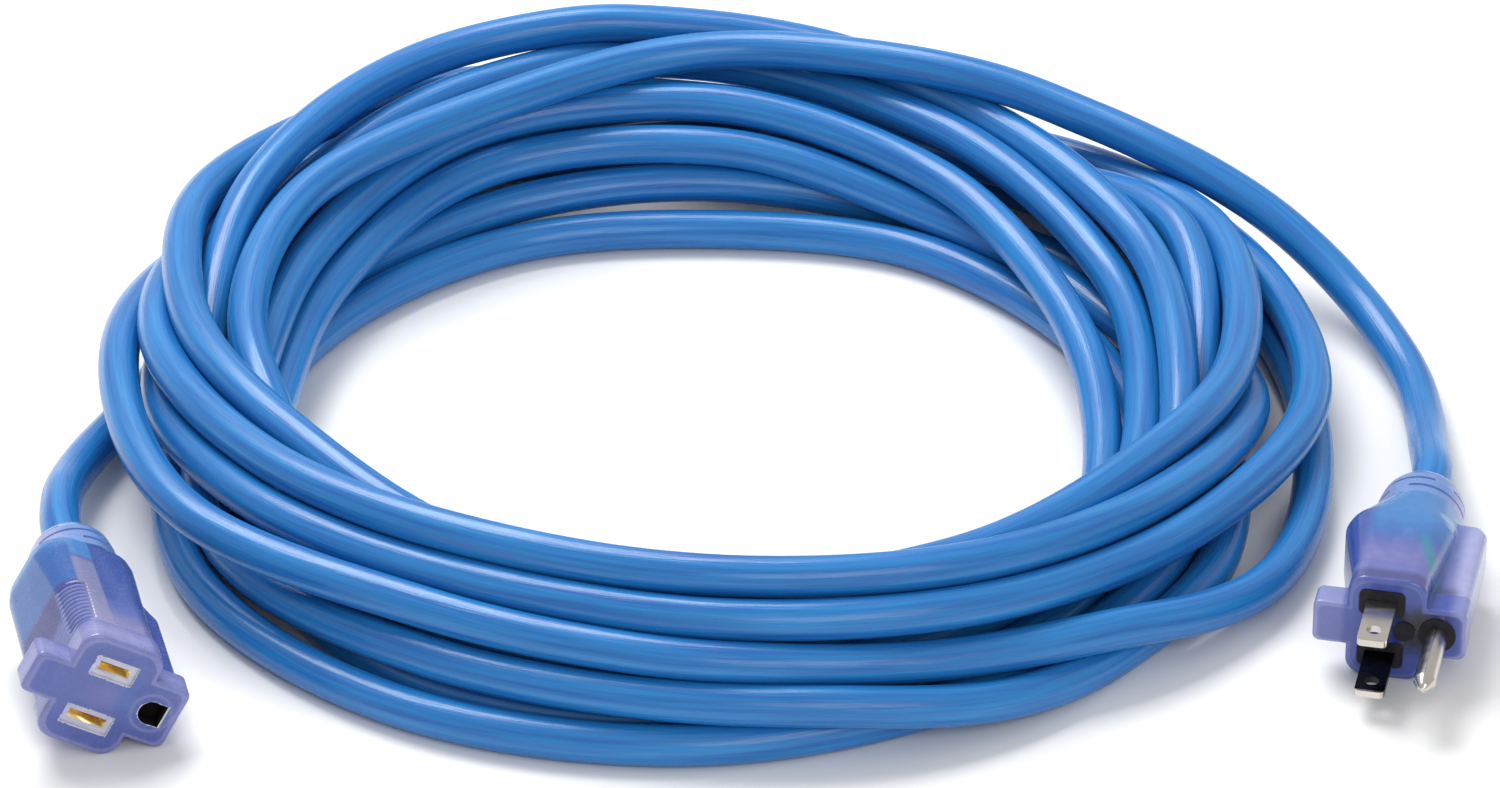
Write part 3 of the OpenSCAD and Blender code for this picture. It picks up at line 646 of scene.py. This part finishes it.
plug_rows = body_rows(block_h=24.6, block_back=7.4, arm_out=18.06, arm_h=11.8,
                      body_l=PLUG_BODY_L, shoulder_l=11, lobe_l=34, step=0.02)
plug_skin = skin("plug_moulding_skin", PLUG, plug_rows, plug_moulding, plug_paint)
connector_rows = with_grip_ribs(body_rows(block_h=26.6, block_back=9.4, arm_out=17.96,
                                          arm_h=14.8, body_l=CONNECTOR_BODY_L, shoulder_l=4,
                                          lobe_l=30, step=0.5))
connector_skin = skin("connector_moulding_skin", CONNECTOR, connector_rows, connector_moulding,
                      connector_paint)


def cut_by(piece, cutters):
    """Cuts the cutters out of a piece, whose new walls take the cutters' materials."""
    for cutter in cutters:
        modifier = piece.modifiers.new("cut", "BOOLEAN")
        modifier.operation = "DIFFERENCE"
        modifier.solver = "EXACT"
        modifier.material_mode = "TRANSFER"
        modifier.object = cutter
    bpy.context.view_layer.update()
    depsgraph = bpy.context.evaluated_depsgraph_get()
    mesh = bpy.data.meshes.new_from_object(piece.evaluated_get(depsgraph))
    piece.modifiers.clear()
    piece.data = mesh
    for cutter in cutters:
        bpy.data.objects.remove(cutter)


def prism(end, outline, z0, z1, material):
    """A prism on an outline in an end's own axes, to cut with."""
    n = len(outline)
    points = [end.point((x, y, z)) for z in (z0, z1) for x, y in outline]
    faces = [(k, (k + 1) % n, n + (k + 1) % n, n + k) for k in range(n)]
    faces += [tuple(range(n - 1, -1, -1)), tuple(range(n, 2 * n))]
    return mesh_piece("cutter", [(p + WHOLE_SHIFT) * MM for p in points], faces, material)


def box_outline(x0, x1, y0, y1):
    return ((x0, y0), (x1, y0), (x1, y1), (x0, y1))


def arch_outline(cx, r, half):
    """A circle squared off on its outer side."""
    start = math.asin(half / r)
    arc = [(cx + r * math.cos(a), r * math.sin(a))
           for a in np.linspace(start, 2 * math.pi - start, 32)]
    return arc + [(cx + r, -half), (cx + r, half)]


HALF_SLOT_T = 1.0
WELL_RIM = 1.3
WELL_DEPTH, SLOT_DEPTH, HOLE_DEPTH = 0.7, 9, 3.9
cutters = []
for y, half_w in ((HALF_SPACING, 3.5), (-HALF_SPACING, 4.2)):
    for rim, depth, wall in ((WELL_RIM, WELL_DEPTH, well_wall), (0, SLOT_DEPTH, brass)):
        outline = box_outline(-half_w - rim, half_w + rim,
                              y - HALF_SLOT_T - rim, y + HALF_SLOT_T + rim)
        cutters.append(prism(CONNECTOR, outline, -depth, 1, wall))
# The ground hole's walls take the near-black painted shade.
cutters.append(prism(CONNECTOR, arch_outline(PIN_OFFSET, 2.8, 2.7), -HOLE_DEPTH, 1, hole_shade))
cut_by(connector_skin, cutters)


HALF_SLIT, SLIT_DEPTH = 0.45, 0.75


def collar_rows(length, body_l):
    """A ribbed collar with three rings of staggered slits."""
    growth = ((0, 0), (0.05, 0.35), (0.15, 0.6), (0.35, 0.86), (0.6, 0.97), (1, 1))
    small, big = 5.55, 9.8
    rows = []
    for s in np.concatenate((np.linspace(0, 0.1, 8), np.linspace(0.11, 1, 90))):
        r = small + (big - small) * np.interp(s, [g[0] for g in growth], [g[1] for g in growth])
        far = np.full(len(ANGLES), r)
        for i in (1, 2, 3):
            off = abs(s * length - (i * length / 4 + HALF_SLIT))
            groove = 1 - (off / HALF_SLIT) ** 4 if off < HALF_SLIT else 0.0
            gate = np.cos(3 * ANGLES + i * math.pi) > -0.75
            far = far - SLIT_DEPTH * groove * gate
        rows.append((length + body_l - s * length, far))
    return rows[::-1]


def collar_paint(t, x, y, share):
    c = np.tile(np.array((0.15, 0.27, 0.58)), (len(x), 1))
    return over(c, (0.34, 0.38, 0.64), step_to(np.abs(x - CORD_OFFSET), 4.5, 8.5))


plug_collar = skin("plug_collar", PLUG, collar_rows(RELIEF_L, PLUG_BODY_L), relief_moulding,
                   collar_paint)
connector_collar = skin("connector_collar", CONNECTOR, collar_rows(RELIEF_L, CONNECTOR_BODY_L),
                        relief_moulding, collar_paint)

# ---- Stage ----

HALF_FLOOR = 6
corners = [(x, y, 0) for x, y in box_outline(-HALF_FLOOR, HALF_FLOOR, -HALF_FLOOR, HALF_FLOOR)]
floor = mesh_piece("floor", corners, ((0, 1, 2, 3),), floor_paint)


def softbox(name, at, size, power):
    light = bpy.data.lights.new(name, "AREA")
    light.shape = "RECTANGLE"
    light.size, light.size_y = size
    light.energy = power
    obj = bpy.data.objects.new(name, light)
    obj.location = at
    obj.rotation_euler = (Vector((0, 0, 0)) - Vector(at)).to_track_quat("-Z", "Y").to_euler()
    bpy.context.collection.objects.link(obj)


softbox("key_light", (-0.35, 0.55, 1.1), (0.9, 0.7), 17)
softbox("front_light", (0.5, -1.2, 0.9), (1.0, 0.6), 6)
world = bpy.data.worlds.new("studio")
world.use_nodes = True
world.node_tree.nodes["Background"].inputs["Color"].default_value = (1, 1, 1, 1)
world.node_tree.nodes["Background"].inputs["Strength"].default_value = 0.62
bpy.context.scene.world = world
bpy.context.scene.view_settings.view_transform = "Standard"

# ---- What rides on what ----

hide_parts("cord_coil", "cord_tail_plug", "cord_tail_connector")
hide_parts("plug_housing")
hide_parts("plug_strain_relief")
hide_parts("connector_housing")
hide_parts("connector_strain_relief")
for piece, slot in ((cord, "cord_jacket"), (plug_skin, "plug_moulding"),
                    (plug_collar, "relief_moulding"), (connector_skin, "connector_moulding"),
                    (connector_collar, "relief_moulding")):
    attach(piece, "root")
